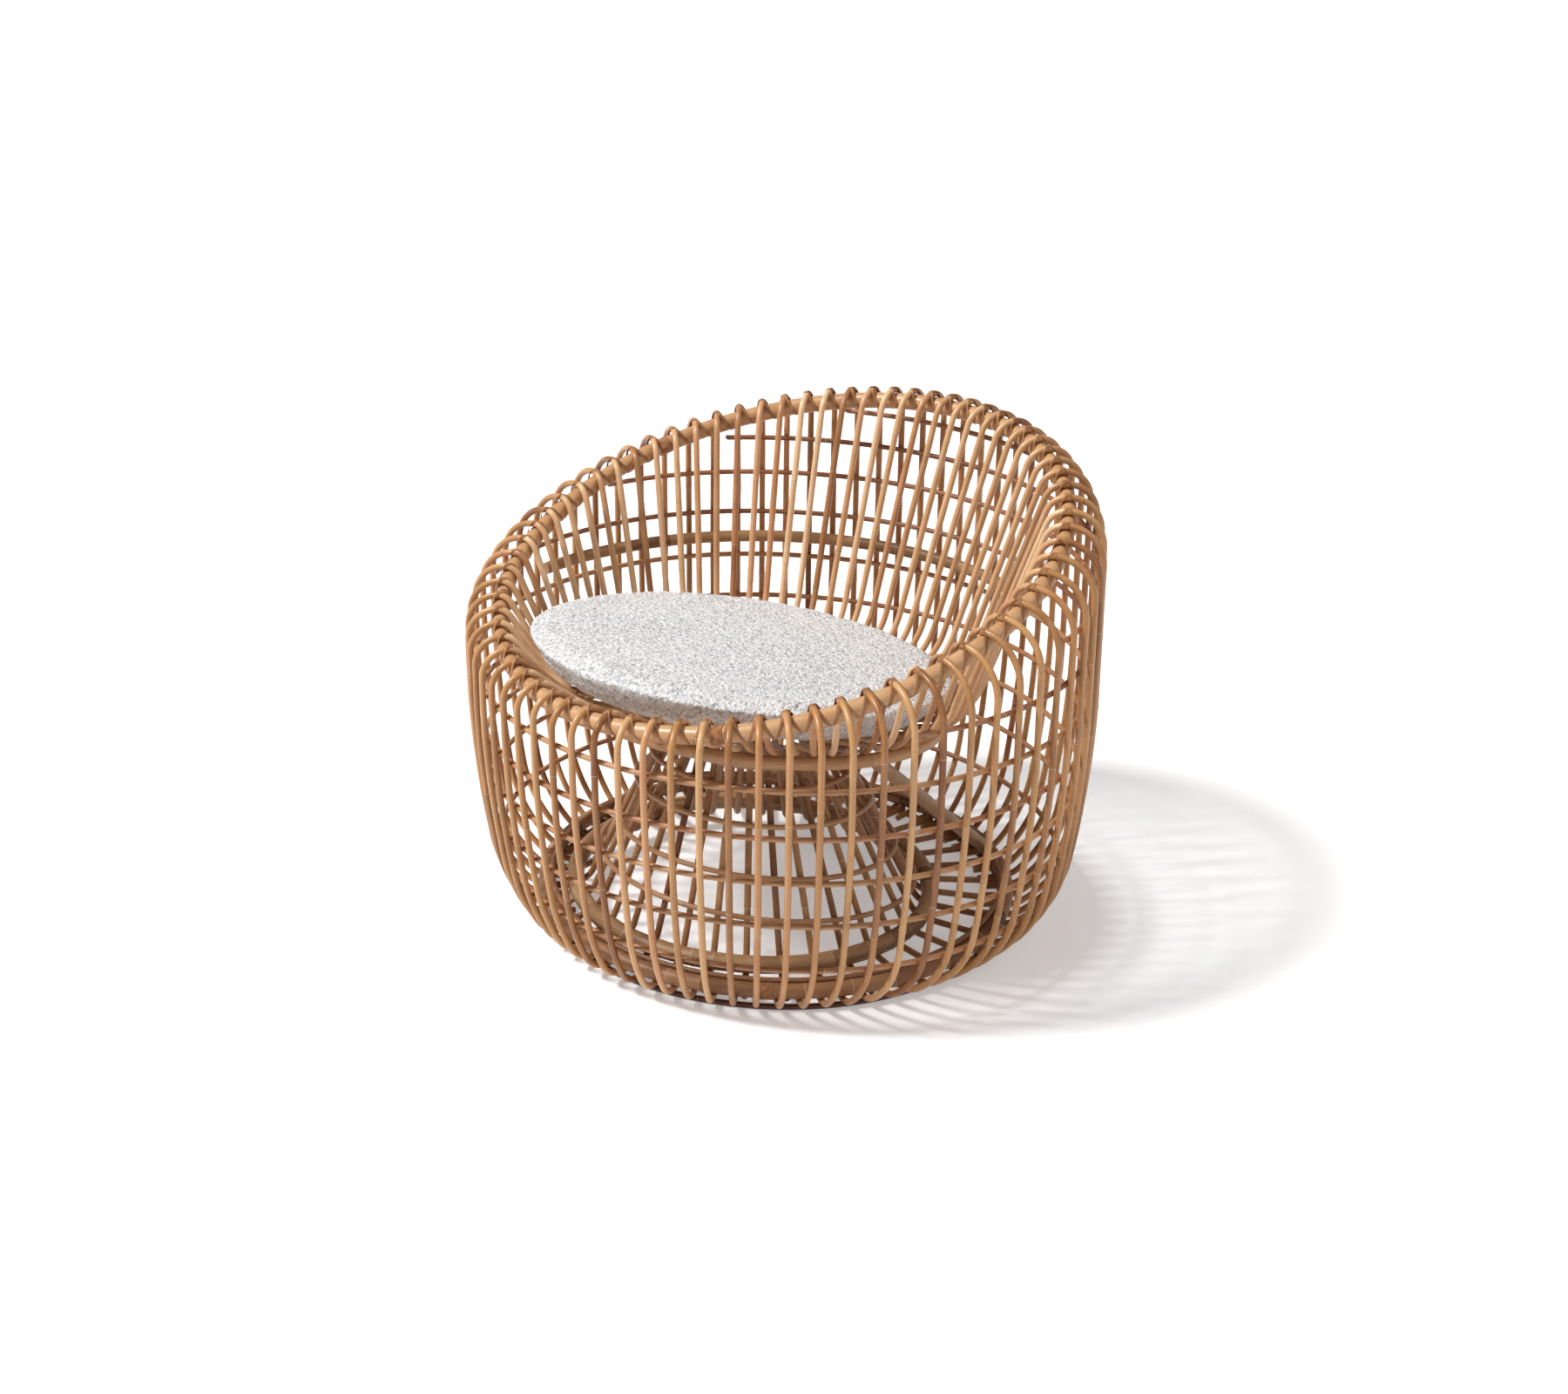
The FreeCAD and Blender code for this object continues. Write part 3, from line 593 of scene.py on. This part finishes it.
def bindingPiece(node, poleRadius, directions):
    # directions: for a sleeve's middle, the way its pole runs there
    source = caneCopy(node)
    bm = paintable()
    for island in islandsOf(source):
        middle = sum((vert.co for vert in island), Vector()) / len(island)
        along = directions(middle)
        turns = int(binding["wide"] / binding["turn"])
        across = along.orthogonal().normalized()
        made = bmesh.ops.create_circle(bm, segments=binding["sides"],
                                       radius=poleRadius + binding["inside"])
        ring = made["verts"]
        edges = list({edge for vert in ring for edge in vert.link_edges})
        turnTo = Matrix((across, along.cross(across), along)).transposed().to_4x4()
        start = middle - along * binding["wide"] / 2
        bmesh.ops.transform(bm, matrix=Matrix.Translation(start) @ turnTo, verts=ring)
        for half in range(2 * turns + 1):
            more = bmesh.ops.extrude_edge_only(bm, edges=edges)["geom"]
            ring = [item for item in more if isinstance(item, bmesh.types.BMVert)]
            edges = [item for item in more if isinstance(item, bmesh.types.BMEdge)
                     and item.verts[0] in ring and item.verts[1] in ring]
            at = middle + along * ((half / (2 * turns)) - 0.5) * binding["wide"]
            reach = poleRadius + binding["proud"] + (half % 2) * binding["ridge"]
            for vert in ring:
                spoke = vert.co - middle
                spoke -= along * spoke.dot(along)
                vert.co = at + spoke.normalized() * reach
        last = bmesh.ops.extrude_edge_only(bm, edges=edges)["geom"]
        for item in last:
            if isinstance(item, bmesh.types.BMVert):
                spoke = item.co - middle
                spoke -= along * spoke.dot(along)
                item.co -= spoke.normalized() * binding["lip"]
    source.free()
    bmesh.ops.recalc_face_normals(bm, faces=bm.faces)
    markAndSmooth(bm, lambda vert: (0.55 + 0.5 * noise.noise(vert.co * 160), 0.1), set())
    newPiece(camel(node), bm, "peel", "chair", "peel", [node])


def rimRun(middle):
    # along the rim, from the rib before to the rib after the nearest one
    nearest = min(range(len(stations)), key=lambda k: (stations[k][0] - middle).length)
    ahead = stations[(nearest + 1) % len(stations)][0]
    behind = stations[nearest - 1][0]
    return (ahead - behind).normalized()


def baseRun(middle):
    # along an oval that has the floor hoop's proportions
    low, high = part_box("floor_hoop")
    halfX = (high[0] - low[0]) / 2
    halfY = (high[1] - low[1]) / 2
    centreY = (high[1] + low[1]) / 2
    out = Vector((middle.x / halfX ** 2, (middle.y - centreY) / halfY ** 2, 0)).normalized()
    return Vector((-out.y, out.x, 0))


bindingPiece("rim_bindings", binding["rimRadius"], rimRun)
bindingPiece("outer_base_bindings", binding["baseRadius"], baseRun)
print("lashings and bindings done")


# cushion: crowned, its flank drawn in, in looped cloth; the tilt is in degrees
cushion = {"voxel": 6 * mm, "pressure": 3.0, "frames": 16, "cap": 6 * mm,
           "pile": 1.3 * mm, "pileScale": 190.0, "tilt": 10.5,
           "plump": 11 * mm, "plumpFrom": -4 * mm, "plumpRise": 18 * mm,
           "plumpReach": 0.2, "plumpEdge": 0.08}


def plump(mesh):
    # loose stuffing fills the top edge out, so the pad meets the canes round it
    low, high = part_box("cushion_cover")
    centre = (Vector(low) + Vector(high)) / 2
    level = Matrix.Rotation(math.radians(cushion["tilt"]), 3, "X")
    for vert in mesh.vertices:
        flat = level @ (vert.co - centre)
        reach = flat.xy.length
        share = min(1.0, max(0.0, (flat.z - cushion["plumpFrom"]) / cushion["plumpRise"]))
        share *= min(1.0, max(0.0, (reach - cushion["plumpReach"]) / cushion["plumpEdge"]))
        out = Vector((flat.x, flat.y, 0)).normalized() * cushion["plump"] * share
        vert.co += level.transposed() @ out


def cushionPiece():
    bm = caneCopy("cushion_filling")
    mesh = bpy.data.meshes.new("cushionPad")
    bm.to_mesh(mesh)
    bm.free()
    pad = bpy.data.objects.new("cushionPad", mesh)
    bpy.context.scene.collection.objects.link(pad)
    remesh = pad.modifiers.new("even", "REMESH")
    remesh.mode = "VOXEL"
    remesh.voxel_size = cushion["voxel"]
    graph = bpy.context.evaluated_depsgraph_get()
    even = bpy.data.meshes.new_from_object(pad.evaluated_get(graph))
    pad.modifiers.clear()
    pad.data = even
    rest = [vert.co.copy() for vert in even.vertices]
    stretch = pad.modifiers.new("cloth", "CLOTH")
    stretch.settings.use_pressure = True
    stretch.settings.uniform_pressure_force = cushion["pressure"]
    stretch.settings.effector_weights.gravity = 0.0
    stretch.point_cache.frame_end = cushion["frames"]
    for frameNumber in range(1, cushion["frames"] + 1):
        bpy.context.scene.frame_set(frameNumber)
    graph = bpy.context.evaluated_depsgraph_get()
    puffed = bpy.data.meshes.new_from_object(pad.evaluated_get(graph))
    pad.modifiers.clear()
    for vert, home in zip(puffed.vertices, rest):
        move = vert.co - home
        if move.length > cushion["cap"]:
            vert.co = home + move.normalized() * cushion["cap"]
    pad.data = puffed
    bpy.context.scene.frame_set(1)
    fine = pad.modifiers.new("fine", "SUBSURF")
    fine.levels = 1
    fine.render_levels = 1
    graph = bpy.context.evaluated_depsgraph_get()
    smooth = bpy.data.meshes.new_from_object(pad.evaluated_get(graph))
    pad.modifiers.clear()
    pad.data = smooth
    plump(smooth)
    normals = [vert.normal.copy() for vert in smooth.vertices]
    for vert, normal in zip(smooth.vertices, normals):
        vert.co += normal * noise.noise(vert.co * cushion["pileScale"]) * cushion["pile"]
    for face in smooth.polygons:
        face.use_smooth = True
    smooth.materials.clear()
    smooth.materials.append(paints["boucle"])
    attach(pad, "cushion")
    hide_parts("cushion_cover", "cushion_filling")


cushionPiece()
print("cushion done")


# floor, light and camera: angles in degrees
studio = {"cameraAt": (2.344, -2.457, 1.799), "lookAt": (0.0046, 0.0044, 0.316),
          "roll": 0.6, "lens": 59.11, "sky": 0.2, "floorGlow": 0.3, "floorHalf": 200.0,
          "key": {"from": (-0.5, -0.62, 1.05), "soft": 12, "strength": 3.5},
          "fill": {"from": (0.8, 0.3, 0.7), "soft": 50, "strength": 0.5}}


def floorAndWorld():
    bm = bmesh.new()
    bmesh.ops.create_grid(bm, x_segments=1, y_segments=1, size=studio["floorHalf"])
    mesh = bpy.data.meshes.new("floor")
    bm.to_mesh(mesh)
    bm.free()
    floor = bpy.data.objects.new("floor", mesh)
    bpy.context.scene.collection.objects.link(floor)
    paint = Paint("floorWhite", Base_Color=(0.96, 0.96, 0.96, 1.0), Roughness=0.9,
                  Emission_Strength=studio["floorGlow"])
    # the glow shows, and lights nothing
    seen = (paint.node("LightPath", out="Is Camera Ray")
            + paint.node("LightPath", out="Is Glossy Ray")
            + paint.node("LightPath", out="Is Transmission Ray"))
    paint.feed(paint.shader.inputs["Emission Color"], paint.mix(seen, black, white))
    mesh.materials.append(paint.material)
    # the sky lights softly, and is white where the camera looks straight at it
    sky = Sky("studio")
    direct = sky.node("LightPath", out="Is Camera Ray")
    sky.feed(sky.shader.inputs["Color"], white)
    sky.feed(sky.shader.inputs["Strength"], direct * (1.0 - studio["sky"]) + studio["sky"])


def lamp(name):
    data = bpy.data.lights.new(name, "SUN")
    data.angle = math.radians(studio[name]["soft"])
    data.energy = studio[name]["strength"]
    made = bpy.data.objects.new(name, data)
    made.rotation_euler = (-Vector(studio[name]["from"])).to_track_quat("-Z", "Y").to_euler()
    bpy.context.scene.collection.objects.link(made)


def camera():
    data = bpy.data.cameras.new("camera")
    data.lens = studio["lens"]
    data.sensor_width = 36.0
    data.sensor_fit = "HORIZONTAL"
    made = bpy.data.objects.new("camera", data)
    eye = Vector(studio["cameraAt"])
    aim = (Vector(studio["lookAt"]) - eye).to_track_quat("-Z", "Y")
    made.matrix_world = Matrix.Translation(eye) @ aim.to_matrix().to_4x4() @ Matrix.Rotation(
        math.radians(studio["roll"]), 4, "Z")
    bpy.context.scene.collection.objects.link(made)
    bpy.context.scene.camera = made


floorAndWorld()
lamp("key")
lamp("fill")
camera()
bpy.context.scene.view_settings.view_transform = "Standard"
print("studio done")
